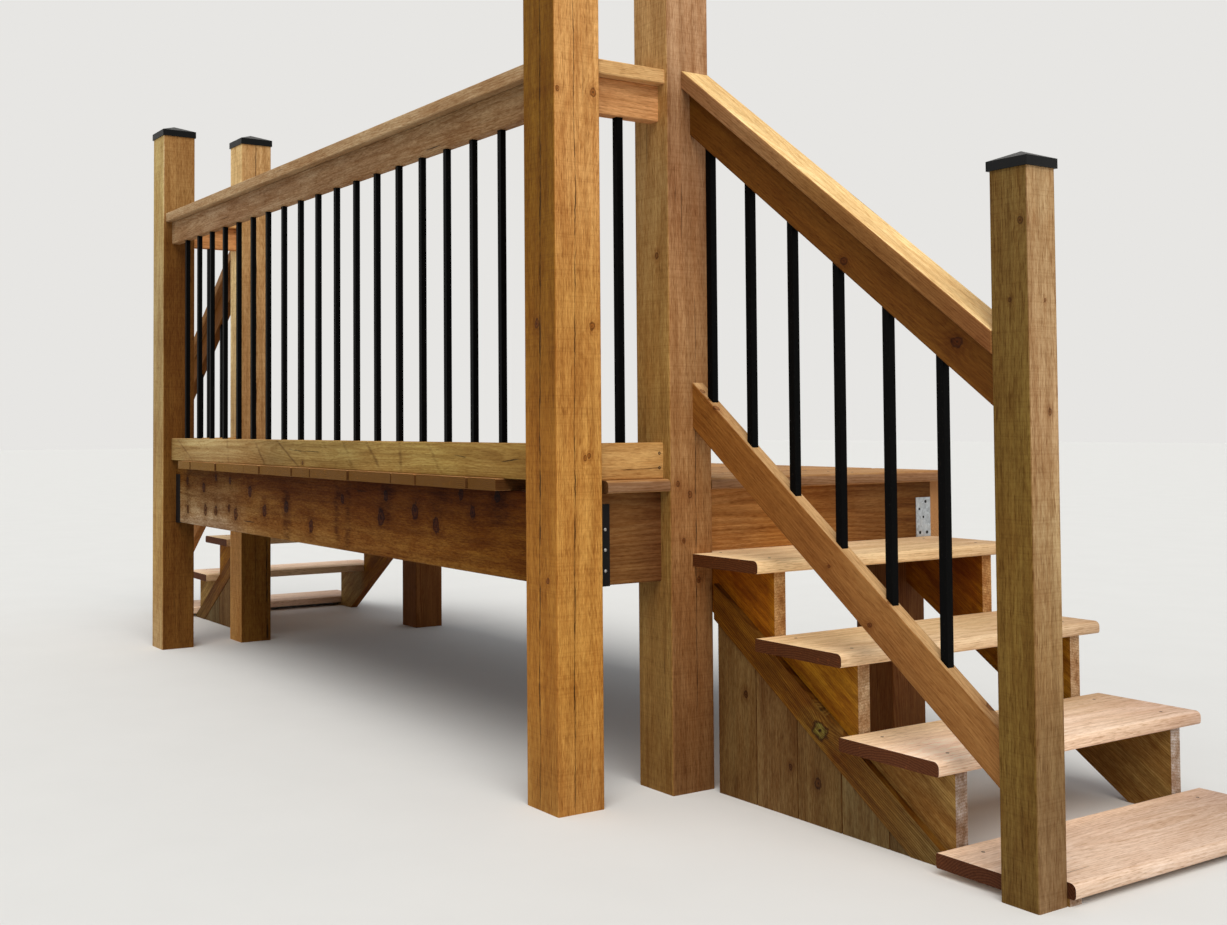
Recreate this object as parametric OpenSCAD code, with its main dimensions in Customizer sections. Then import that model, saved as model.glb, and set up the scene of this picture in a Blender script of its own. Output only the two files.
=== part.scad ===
// Landing deck with a stair at each end, a railing in front and a handrail on each flight.
// X runs along the house wall, +Y points to the house, Z is up and starts at the ground.
// The middle of the deck is X = 0 and the middle of its depth is Y = 0.

/* [Deck] */
// Length of the deck over the outer faces of the posts
deck_len = 3150; // [1800:10:4200]
// Depth from the front of the posts to the house
deck_depth = 1428; // [1100:1:2000]
// Height of the deck boards' top above the ground
deck_h = 815; // [760:1:1200]
// Thickness of deck boards and treads
board_t = 32; // [22:1:40]
// Width of a deck board
board_w = 144; // [90:1:190]
// Least gap between deck boards
board_gap = 5; // [2:0.5:8]
// Width of the round-edged board over each stair
edge_w = 286; // [200:1:320]
// Distance of the deck boards' front ends behind the front of the posts
board_inset = 8; // [0:1:30]
// How much the boards' front ends differ, as they were cut one by one
board_stagger = 6; // [0:0.5:12]
// Gap between the front corner post and the round-edged board
edge_board_gap = 18; // [2:1:40]
// Gap between the outermost deck board and the round-edged board
field_gap = 18.5; // [2:0.5:40]

/* [Posts] */
// Side of a square deck post
post_w = 140; // [89:1:190]
// Side of a square newel
newel_w = 89; // [70:1:140]
// Clear space between the corner post and the stair post
side_bay = 218; // [120:1:400]
// Height of the deck posts above the deck
post_top = 1428; // [1100:1:1800]
// Height of the newels above the lower end of the handrail
newel_over = 337; // [60:1:450]
// Clear space between a back leg and the house
back_leg_gap = 70; // [0:1:300]
// Height of the flat side of a deck post's cap
cap_side = 27; // [18:1:45]
// Height of the flat side of a newel's cap
newel_cap_side = 20; // [18:1:45]
// Rise of a cap's pyramid, as a share of its width
cap_pitch = 0.19; // [0.05:0.01:0.5]
// Thickness of a cap's sides, which stand proud of the post
cap_lip = 4; // [2:0.5:10]
// How far a cap reaches down over its post
cap_grip = 14; // [6:1:16]

/* [Frame] */
// Thickness of framing and rail lumber
lumber_t = 38; // [32:1:50]
// Depth of the beam, rims, joists and ledger
beam_h = 235; // [184:1:286]
// Distance of the front beam behind the front of the posts
beam_inset = 60; // [10:1:90]
// Distance of the side rims behind the outer faces of the posts
rim_inset = 41; // [10:1:90]
// Number of joists between the beam and the ledger
joist_n = 3; // [2:1:6]
// Thickness of hanger and bracket steel
steel_t = 2; // [1.2:0.1:4]
// Length of a beam hanger's side plate along the beam
hanger_len = 50; // [35:1:80]
// Width of a hanger's flange on the post
hanger_flange = 22; // [12:1:30]
// Width of the galvanised plate at the back of each rim
plate_w = 62; // [40:1:80]
// Height of the galvanised plate
plate_h = 117; // [80:1:160]

/* [Railing] */
// Height of the cap rail's top above the deck
rail_top = 1073; // [900:1:1200]
// Width of a rail and of a cap rail
rail_w = 95; // [64:1:140]
// Distance of the rails' faces behind the faces of the posts
rail_inset = 38; // [26:1:60]
// Distance of the side bottom rail's face behind the faces of the posts
side_low_inset = 30; // [20:1:60]
// Side of a square baluster of the stairs and side bays
baluster_w = 19; // [12:1:30]
// Side of a square baluster of the front
front_baluster_w = 17; // [12:1:30]
// Distance between baluster centres
baluster_pitch = 148.5; // [90:0.5:160]
// Distance from the left post's face to the front's first baluster
first_baluster = 150; // [40:1:170]
// Distance from the corner post to the side bay's baluster
side_baluster = 99; // [40:1:120]
// How much more the handrail falls than the flight does between its posts
extra_fall = 80; // [0:1:150]
// Height of the stair bottom rail's top above the deck, at the stair post
stair_rail_top = 251; // [160:1:350]
// Distance from the newel to the lowest baluster
newel_baluster = 161; // [60:1:170]

/* [Stairs] */
// Number of treads below the deck
tread_n = 4; // [2:1:5]
// Height from the first tread to the deck
first_rise = 197; // [150:1:240]
// Height of the last tread above the ground
last_rise = 48; // [40:1:120]
// Horizontal distance between tread noses
run = 275; // [250:1:300]
// Depth of a tread
tread_d = 286; // [260:1:320]
// How far a nose stands out over the stringer
nose_out = 14; // [5:1:40]
// How far a tread runs past each stringer
tread_over = 68; // [20:1:90]
// Distance of the treads' ends from the house
house_gap = 40; // [10:1:150]
// Depth of the plank that the stringers are cut from
stringer_w = 235; // [225:1:300]
// Distance from the nose of the last tread back to the newel's face
newel_back = 18; // [0:1:40]

/* [Skirt] */
// Distance of the strip's lower edge above the stringer's lower edge, square to the slope
cleat_reveal = 3.5; // [1:0.5:15]
// Thickness of the strip
cleat_t = 19; // [12:1:38]
// Distance from the treads' lower back corners down to the strip, square to the slope
cleat_drop = 1; // [0.5:0.5:20]
// Distance of the strip's upper end from the stair post
cleat_gap = 24; // [2:1:60]
// Thickness of the skirt boards
skirt_t = 16; // [10:1:30]
// Width of a skirt board
skirt_w = 140; // [80:1:190]
// Distance of the first skirt board from the stair post
skirt_gap = 37; // [2:1:60]
// Gap between skirt boards
skirt_space = 3.5; // [2:0.5:8]

/* [Edges] */
// Radius of the eased edges of lumber
ease = 4; // [1:0.5:8]
// Radius of the top of a round nose
nose_top_r = 13; // [6:1:16]
// Radius of the underside of a round nose
nose_low_r = 7; // [3:1:14]

/* [Hidden] */

// Points on each quarter circle of an eased edge
arc_n = 3;
// A size larger than the whole deck, for cutting tools
far = 4 * deck_len;

// Y of the front faces of the posts, of the house and of the other fixed lines
front_y = -(deck_depth - cap_lip) / 2;
house_y = front_y + deck_depth;
post_back_y = front_y + post_w;
stair_post_y = post_back_y + side_bay;
stair_in_y = stair_post_y + post_w;
newel_y = stair_in_y - newel_w;
ledger_y = house_y - lumber_t;
stair_rail_y = newel_y + (newel_w - lumber_t) / 2;
tread_y = stair_in_y - tread_over;
tread_len = house_y - house_gap - tread_y;

// X of the outer faces and of the inner faces of the posts
half_len = deck_len / 2;
clear_len = deck_len - 2 * post_w;

// Noses and tops of the treads, from the stair post's face and down from the deck
rise = (deck_h - first_rise - last_rise) / (tread_n - 1);
nose_1 = tread_d - rim_inset;
function nose_x(k) = nose_1 + k * run;
function tread_z(k) = -first_rise - k * rise;
slope = atan2(rise, run);
newel_x = nose_x(tread_n - 1) - newel_back - newel_w;
beam_z = -board_t - beam_h;

// Slope of the stair railing and the upright heights of its sloping rails
handrail_fall = newel_x * rise / run + extra_fall;
newel_top = deck_h + rail_top - handrail_fall + newel_over;
rail_slope = atan2(handrail_fall, newel_x);
cap_high = lumber_t / cos(rail_slope);
rail_high = rail_w / cos(rail_slope);
function rail_z(z0, x) = z0 - x * tan(rail_slope);
top_rail_z = rail_top - cap_high;
low_baluster_z = stair_rail_top;
high_baluster_z = top_rail_z - rail_high;

// Deck boards between the two round-edged boards
field_len = deck_len - 2 * (edge_w + field_gap);
board_n = floor((field_len + board_gap) / (board_w + board_gap));
board_space = (field_len - board_n * board_w) / max(board_n - 1, 1);
function board_front(k) = front_y + board_inset + board_stagger * (1 + sin(k * 137)) / 2;

// Places of the joists between the beam and the ledger
joist_1_y = stair_post_y + (post_w - lumber_t) / 2;
joist_step = (ledger_y - joist_1_y) / joist_n;
function joist_y(k) = joist_1_y + k * joist_step;

wood = [0.55, 0.36, 0.18];
wood_pale = [0.78, 0.60, 0.42];
wood_dark = [0.36, 0.22, 0.12];
black = [0.06, 0.06, 0.06];
zinc = [0.68, 0.70, 0.72];

// Points of an arc about a centre, from one angle to another
function arc(cx, cy, r, a, b, n = arc_n) =
    [for (i = [0:n]) [cx + r * cos(a + (b - a) * i / n), cy + r * sin(a + (b - a) * i / n)]];

// Outline of a board's section with its four edges eased
function eased(w, h, r) = concat(
    arc(w - r, h - r, r, 0, 90), arc(r, h - r, r, 90, 180),
    arc(r, r, r, 180, 270), arc(w - r, r, r, 270, 360));

// Outline of a board's section with a round nose at its right edge
function nosed(w, h) = concat(
    arc(w - nose_top_r, h - nose_top_r, nose_top_r, 0, 90, 5),
    arc(ease, h - ease, ease, 90, 180), arc(ease, ease, ease, 180, 270),
    arc(w - nose_low_r, nose_low_r, nose_low_r, 270, 360));

// Lumber of w by h standing on its section, l long in Z
module upright(w, h, l, r = ease) {
    linear_extrude(l)
        polygon(eased(w, h, r));
}

// Lumber lying along X: l long, w deep in Y and h high
module along_x(l, w, h, r = ease) {
    rotate([90, 0, 90])
        linear_extrude(l)
            polygon(eased(w, h, r));
}

// Lumber lying along Y: w wide in X, l long and h high
module along_y(w, l, h, r = ease) {
    translate([0, l, 0])
        rotate([90, 0, 0])
            linear_extrude(l)
                polygon(eased(w, h, r));
}

// Board lying along Y with a round nose towards +X
module nosed_board(w, l, h) {
    translate([0, l, 0])
        rotate([90, 0, 0])
            linear_extrude(l)
                polygon(nosed(w, h));
}

// Places its children at the deck's edge over a stair: X from the post's face, Z from the deck
module at_stair() {
    translate([half_len, 0, deck_h])
        children();
}

// The same at the other end of the deck
module at_left_stair() {
    mirror([1, 0, 0])
        at_stair()
            children();
}

// Its children at both ends of the deck
module at_both() {
    at_stair()
        children();
    at_left_stair()
        children();
}

// Square post from the ground up, its corner at x and y, topped at z above the deck
module deck_post(y) {
    color(wood)
        translate([-post_w, y, -deck_h])
            upright(post_w, post_w, deck_h + post_top);
}

module newel() {
    color(wood)
        translate([newel_x, newel_y, -deck_h])
            upright(newel_w, newel_w, newel_top);
}

// Leg under the house end of the rim
module back_leg() {
    color(wood)
        translate([-rim_inset - post_w, house_y - back_leg_gap - post_w, -deck_h])
            upright(post_w, post_w, deck_h + beam_z);
}

// Hollow cap with upright sides and a low pyramid over a post of side w
module cap(w, side) {
    outer = w + 2 * cap_lip;
    color(black)
        translate([w / 2, w / 2, 0])
            difference() {
                union() {
                    translate([-outer / 2, -outer / 2, -cap_grip])
                        cube([outer, outer, side]);
                    translate([0, 0, side - cap_grip])
                        rotate([0, 0, 45])
                            cylinder(h = cap_pitch * outer, r1 = outer / sqrt(2), r2 = 1, $fn = 4);
                }
                translate([-w / 2, -w / 2, -cap_grip - 1])
                    cube([w, w, cap_grip + 1]);
            }
}

module post_cap(y) {
    translate([-post_w, y, post_top])
        cap(post_w, cap_side);
}

module newel_cap() {
    translate([newel_x, newel_y, newel_top - deck_h])
        cap(newel_w, newel_cap_side);
}

module front_beam() {
    color(wood_dark)
        translate([-clear_len / 2, front_y + beam_inset, deck_h + beam_z])
            along_x(clear_len, lumber_t, beam_h);
}

module ledger() {
    color(wood_dark)
        translate([-half_len + rim_inset, ledger_y, deck_h + beam_z])
            along_x(deck_len - 2 * rim_inset, lumber_t, beam_h);
}

// First joist hangs between the stair posts, the others between the rims
module joists() {
    color(wood_dark)
        for (k = [0:joist_n - 1]) {
            l = k == 0 ? clear_len : deck_len - 2 * (rim_inset + lumber_t);
            translate([-l / 2, joist_y(k), deck_h + beam_z])
                along_x(l, lumber_t, beam_h);
        }
}

// Two lengths of rim: corner post to stair post, and stair post to ledger
module rims() {
    color(wood_dark)
        for (span = [[post_back_y, stair_post_y], [stair_in_y, ledger_y]])
            translate([-rim_inset - lumber_t, span[0], beam_z])
                along_y(lumber_t, span[1] - span[0], beam_h);
}

// Hanger for lumber that leaves a post or rim along +Y: seat, two sides and its flanges.
// Its lumber starts at the origin, stands centred on X and is w wide and h high.
module hanger(w, h, len, flanges = [-1, 1]) {
    drop = h * 0.88;
    for (s = [-1, 1])
        translate([s * (w + steel_t) / 2 - steel_t / 2, 0, 0])
            cube([steel_t, len, drop]);
    translate([-w / 2 - steel_t, 0, -steel_t])
        cube([w + 2 * steel_t, len, steel_t]);
    for (s = flanges)
        translate([s * (w / 2 + steel_t + hanger_flange / 2) - hanger_flange / 2, 0, 0])
            cube([hanger_flange, steel_t, drop]);
}

// Black hangers that carry the front beam and the short rims on the corner posts, each with its
// flange on the side under the deck
module beam_hangers() {
    color(black) {
        translate([-post_w, front_y + beam_inset + lumber_t / 2, beam_z])
            rotate([0, 0, 90])
                hanger(lumber_t, beam_h, hanger_len, [1]);
        translate([-rim_inset - lumber_t / 2, post_back_y, beam_z])
            hanger(lumber_t, beam_h, hanger_len, [-1]);
    }
}

// Galvanised hangers of the joists
module joist_hangers() {
    color(zinc)
        for (k = [0:joist_n - 1])
            translate([k == 0 ? -post_w : -rim_inset - lumber_t, joist_y(k) + lumber_t / 2, beam_z])
                rotate([0, 0, 90])
                    hanger(lumber_t, beam_h * 0.85, lumber_t);
}

// Galvanised plate on the rim beside the ledger
module tie_plate() {
    color(zinc)
        translate([-rim_inset, ledger_y - plate_w - steel_t, -80 - plate_h])
            cube([steel_t, plate_w, plate_h]);
}

module deck_boards() {
    color(wood_pale)
        for (k = [0:board_n - 1])
            translate([
                -field_len / 2 + k * (board_w + board_space),
                board_front(k),
                deck_h - board_t
            ])
                along_y(board_w, house_y - board_front(k), board_t);
}

// Round-edged board over the stair, cut round the stair post
module deck_edge() {
    y = post_back_y + edge_board_gap;
    color(wood_pale)
        difference() {
            translate([-edge_w, y, -board_t])
                nosed_board(edge_w, house_y - y, board_t);
            translate([-post_w, stair_post_y, -2 * board_t])
                cube([2 * post_w, post_w, 3 * board_t]);
        }
}

// Rails of the front: cap, top rail under it and bottom rail on the boards
module front_cap_rail() {
    color(wood)
        translate([
            -clear_len / 2,
            front_y + rail_inset - (rail_w - lumber_t) / 2,
            deck_h + rail_top - lumber_t
        ])
            along_x(clear_len, rail_w, lumber_t);
}

module front_rail(z) {
    color(wood)
        translate([-clear_len / 2, front_y + rail_inset, deck_h + z])
            along_x(clear_len, lumber_t, rail_w);
}

module side_cap_rail() {
    color(wood)
        translate([-rail_inset - (rail_w + lumber_t) / 2, post_back_y, rail_top - lumber_t])
            along_y(rail_w, side_bay, lumber_t);
}

module side_rail(z, inset) {
    color(wood)
        translate([-inset - lumber_t, post_back_y, z])
            along_y(lumber_t, side_bay, rail_w);
}

// Upright square bar of side w between two heights, centred on x and y
module baluster(x, y, w, z0, z1) {
    color(black)
        translate([x - w / 2, y - w / 2, z0])
            cube([w, w, z1 - z0]);
}

baluster_low = rail_w;
baluster_high = rail_top - lumber_t - rail_w;

module front_balusters() {
    n = floor((clear_len - first_baluster - front_baluster_w) / baluster_pitch) + 1;
    for (k = [0:n - 1])
        translate([0, 0, deck_h])
            baluster(
                -clear_len / 2 + first_baluster + k * baluster_pitch,
                front_y + rail_inset + lumber_t / 2,
                front_baluster_w, baluster_low, baluster_high);
}

module side_baluster_bar() {
    baluster(
        -rail_inset - lumber_t / 2,
        post_back_y + side_baluster,
        baluster_w, baluster_low, baluster_high);
}

// Sloping lumber between the stair post and the newel: w deep in Y, h thick square to the slope,
// its underside starting at z0 on the stair post
module sloping(y, w, h, z0) {
    color(wood)
        intersection() {
            translate([0, y, z0])
                rotate([0, rail_slope, 0])
                    translate([-newel_x, 0, 0])
                        along_x(4 * newel_x, w, h);
            translate([0, -far / 2, -far / 2])
                cube([newel_x, far, far]);
        }
}

module handrail() {
    sloping(stair_rail_y - (rail_w - lumber_t) / 2, rail_w, lumber_t, top_rail_z);
}

module stair_top_rail() {
    sloping(stair_rail_y, lumber_t, rail_w, high_baluster_z);
}

module stair_bottom_rail() {
    sloping(stair_rail_y, lumber_t, rail_w, stair_rail_top - rail_high);
}

// Bars that stand on the sloping bottom rail, with ends cut to the slope
module stair_balusters() {
    n = floor((newel_x - newel_baluster - baluster_w) / baluster_pitch) + 1;
    color(black)
        for (k = [0:n - 1]) {
            x = newel_x - newel_baluster - k * baluster_pitch;
            a = x - baluster_w / 2;
            b = x + baluster_w / 2;
            translate([0, stair_rail_y + (lumber_t + baluster_w) / 2, 0])
                rotate([90, 0, 0])
                    linear_extrude(baluster_w)
                        polygon([
                            [a, rail_z(low_baluster_z, a)], [b, rail_z(low_baluster_z, b)],
                            [b, rail_z(high_baluster_z, b)], [a, rail_z(high_baluster_z, a)]
                        ]);
        }
}

// Treads: the first is cut round the stair post and the last round the newel
module treads() {
    color(wood_pale)
        for (k = [0:tread_n - 1])
            difference() {
                translate([nose_x(k) - tread_d, tread_y, tread_z(k) - board_t])
                    nosed_board(tread_d, tread_len, board_t);
                if (k == 0)
                    translate([-2 * post_w, tread_y - post_w, tread_z(k) - 2 * board_t])
                        cube([2 * post_w, stair_in_y - tread_y + post_w, 3 * board_t]);
                if (k == tread_n - 1)
                    translate([newel_x, tread_y - post_w, tread_z(k) - 2 * board_t])
                        cube([2 * tread_d, stair_in_y - tread_y + post_w, 3 * board_t]);
            }
}

// Side outline of a stringer: steps on top, a slope below, cut level at the ground
step_low = [for (k = [0:tread_n - 1]) tread_z(k) - board_t];
function cut_x(k) = nose_x(k) - nose_out;
slope_drop = stringer_w / cos(slope);
function under_z(x) = step_low[0] - (x - cut_x(0)) * tan(slope) - slope_drop;
ground_x = cut_x(0) + (step_low[0] - slope_drop + deck_h) / tan(slope);

function stringer_points() = concat(
    [[-rim_inset, step_low[0]]],
    [for (k = [0:tread_n - 1], end = [0, 1])
        [cut_x(k), end == 0 ? step_low[k] : (k < tread_n - 1 ? step_low[k + 1] : -deck_h)]],
    [[ground_x, -deck_h], [-rim_inset, under_z(-rim_inset)]]);

module stringer(y) {
    color(wood_dark)
        translate([0, y + lumber_t, 0])
            rotate([90, 0, 0])
                linear_extrude(lumber_t)
                    polygon(stringer_points());
}

module stringers() {
    stringer(stair_in_y);
    stringer(tread_y + tread_len - tread_over - lumber_t);
}

// Height at x of a line on the stair's slope that passes a drop below the treads' lower back
// corners, and the x at which it reaches the ground
function slope_z(x, drop) =
    step_low[0] - (x - nose_x(0) + tread_d) * tan(slope) - drop / cos(slope);
function slope_x(drop) =
    nose_x(0) - tread_d + (step_low[0] + deck_h - drop / cos(slope)) / tan(slope);
cleat_low = stringer_w - (tread_d - nose_out) * sin(slope) - cleat_reveal;

// Strip on the outer face of the outer stringer, from beside the stair post to the ground
module stringer_cleat() {
    low = cleat_low;
    end = min(slope_x(cleat_drop), newel_x);
    tip = end < slope_x(cleat_drop) ? [[end, -deck_h]] : [];
    color(wood)
        translate([0, stair_in_y, 0])
            rotate([90, 0, 0])
                linear_extrude(cleat_t)
                    polygon(concat(
                        [[cleat_gap, slope_z(cleat_gap, cleat_drop)]],
                        [[cleat_gap, slope_z(cleat_gap, low)], [slope_x(low), -deck_h]],
                        tip, [[end, slope_z(end, cleat_drop)]]));
}

// Upright boards that fill the triangle under the strip, as many as it takes
module skirt_boards() {
    low = cleat_low;
    x_low = slope_x(low);
    step = skirt_w + skirt_space;
    color(wood)
        for (k = [0:floor((x_low - skirt_gap) / step)]) {
            a = skirt_gap + k * step;
            b = min(a + skirt_w, x_low - 1);
            if (b - a > 10)
                translate([0, stair_in_y, 0])
                    rotate([90, 0, 0])
                        linear_extrude(skirt_t)
                            polygon([
                                [a, -deck_h], [b, -deck_h],
                                [b, slope_z(b, low)], [a, slope_z(a, low)]
                            ]);
        }
}

at_stair() deck_post(front_y);  // post_front_right
at_left_stair() deck_post(front_y);  // post_front_left
at_stair() deck_post(stair_post_y);  // post_stair_right
at_left_stair() deck_post(stair_post_y);  // post_stair_left
at_stair() newel();  // newel_right
at_left_stair() newel();  // newel_left
at_both() back_leg();  // back_legs
at_both() for (y = [front_y, stair_post_y]) post_cap(y);  // post_caps
at_both() newel_cap();  // newel_caps
front_beam();
ledger();
joists();
at_stair() rims();  // rims_right
at_left_stair() rims();  // rims_left
at_both() beam_hangers();
at_both() joist_hangers();
at_both() tie_plate();  // tie_plates
deck_boards();
at_stair() deck_edge();  // deck_edge_right
at_left_stair() deck_edge();  // deck_edge_left
front_cap_rail();
front_rail(baluster_high);  // front_top_rail
front_rail(0);  // front_bottom_rail
front_balusters();
at_both() side_cap_rail();  // side_cap_rails
at_both() side_rail(baluster_high, rail_inset);  // side_top_rails
at_both() side_rail(0, side_low_inset);  // side_bottom_rails
at_both() side_baluster_bar();  // side_balusters
at_stair() handrail();  // handrail_right
at_left_stair() handrail();  // handrail_left
at_stair() stair_top_rail();  // stair_top_rail_right
at_left_stair() stair_top_rail();  // stair_top_rail_left
at_stair() stair_bottom_rail();  // stair_bottom_rail_right
at_left_stair() stair_bottom_rail();  // stair_bottom_rail_left
at_stair() stair_balusters();  // stair_balusters_right
at_left_stair() stair_balusters();  // stair_balusters_left
at_stair() treads();  // treads_right
at_left_stair() treads();  // treads_left
at_stair() stringers();  // stringers_right
at_left_stair() stringers();  // stringers_left
at_both() stringer_cleat();  // stringer_cleats
at_stair() skirt_boards();  // skirt_boards_right
at_left_stair() skirt_boards();  // skirt_boards_left
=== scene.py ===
"""Wooden deck stairs: finishes of lumber and steel, fixings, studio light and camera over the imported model."""

import math

import bpy
import numpy as np
from mathutils import Matrix, Vector


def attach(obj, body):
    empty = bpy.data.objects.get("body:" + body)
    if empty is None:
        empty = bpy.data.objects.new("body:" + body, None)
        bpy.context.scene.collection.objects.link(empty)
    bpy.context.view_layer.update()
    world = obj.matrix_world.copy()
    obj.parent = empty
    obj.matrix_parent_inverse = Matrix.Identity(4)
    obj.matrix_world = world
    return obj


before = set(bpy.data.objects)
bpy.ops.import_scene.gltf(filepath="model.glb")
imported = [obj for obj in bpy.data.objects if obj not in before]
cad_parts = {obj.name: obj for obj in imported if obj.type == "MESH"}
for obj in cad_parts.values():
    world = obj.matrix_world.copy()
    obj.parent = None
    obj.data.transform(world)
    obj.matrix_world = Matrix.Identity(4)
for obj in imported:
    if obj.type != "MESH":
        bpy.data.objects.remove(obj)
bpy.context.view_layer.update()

# Faces by the way they look. On pieces that are twins, RIGHT faces look away from the deck's middle at both ends
AXES = "xyz"
FRONT, RIGHT, LEFT, TOP = ("y", -1), ("x", 1), ("x", -1), ("z", 1)

# Places of the lumber in metres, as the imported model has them. The left end mirrors the right one
DECK_TOP, BOARD_MIDDLE, FRAME_MIDDLE = 0.815, 0.799, 0.665
BOARDS, BOARD_WIDTH, BOARD_PITCH, FIRST_BOARD = 17, 0.144, 0.149813, -1.2705
JOIST_LINES = (-0.633, -0.284, 0.043, 0.370, 0.697)
POST_X, FRONT_POST_Y, STAIR_POST_Y = 1.505, -0.642, -0.284
POST_RIGHT, POST_FRONT, STAIR_POST_FRONT = 1.575, -0.712, -0.354
NEWEL_X, NEWEL_RIGHT, NEWEL_FRONT = 2.5825, 2.627, -0.303
RAIL_Y, RAIL_FRONT, BEAM_FRONT, SKIRT_FRONT = -0.655, -0.674, -0.652, -0.230
CAP_RAIL_Z, TOP_RAIL_Z, BOTTOM_RAIL_Z = 1.869, 1.8025, 0.8625
LUMBER_THICK, RAIL_DEEP = 0.038, 0.095
STAIR_RAIL_Y, STAIR_RAIL_FRONT = -0.2585, -0.2775
RIM_OUTSIDE, RIM_INSIDE, POST_HANGER_INSIDE = 1.536, 1.494, 1.433
STEPS, STEP_RISE, STEP_RUN = 4, 0.190, 0.275
HANDRAIL_DROP, HANDRAIL_REACH = 0.74535, 0.963
FLIGHT_SLOPE, RAIL_SLOPE = math.atan2(STEP_RISE, STEP_RUN), math.atan2(HANDRAIL_DROP, HANDRAIL_REACH)

# How far a face has to look its own way before its colour, its cracks and stains, or its cut end begin and are in full
FACE_LIMITS, MARK_LIMITS, END_LIMITS = (0.55, 0.85), (0.6, 0.9), (0.75, 0.92)

# Noises of the wood: cells to the metre along and across the grain, detail, roughness
KNOT_EDGE = (70.0, 70.0)
RING_WAVE = (5.0, 22.0)
FIBRES = (9.0, 420.0)
FUZZ = (48.0, 260.0, 4.0, 0.75)
MOTTLING = (6.0, 32.0, 4.0, 0.7)
STREAKS = (1.6, 75.0, 3.0)
CLOUDS = (2.2, 9.0, 3.0, 0.55)
PORES = (26.0, 330.0, 1.0)
CHECKS = (2.5, 95.0, 1.0)

# Cells of the scattered knots to the metre: along, across and through the wood, on average, and a shift a board
KNOT_CELLS, KNOT_SCALE, KNOT_SHIFT = (4.2, 5.5, 1.2), 5.0, 7.0
# The metres over which a crack or a stain fades out at its ends
FADE = 0.02

# Steps between the random numbers of the deck's two ends and of boards side by side, and the metres of grain that
# one draw moves a board along
TWIN_STEP, COURSE_STEP, GRAIN_SHIFT = 3.3, 1.37, 9.0


class Wire:
    """A socket of a finish. Sums, products and the like of wires add their Math nodes."""

    def __init__(self, finish, socket):
        self.finish, self.socket = finish, socket

    def __add__(self, other): return self.finish.math("ADD", self, other)
    def __sub__(self, other): return self.finish.math("SUBTRACT", self, other)
    def __rsub__(self, other): return self.finish.math("SUBTRACT", other, self)
    def __mul__(self, other): return self.finish.math("MULTIPLY", self, other)
    def __truediv__(self, other): return self.finish.math("DIVIDE", self, other)
    def __rtruediv__(self, other): return self.finish.math("DIVIDE", other, self)
    def __abs__(self): return self.finish.math("ABSOLUTE", self)
    __radd__, __rmul__ = __add__, __mul__

    def out(self, name):
        """Another output of the node that this wire leaves."""
        return Wire(self.finish, self.socket.node.outputs[name])


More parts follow.
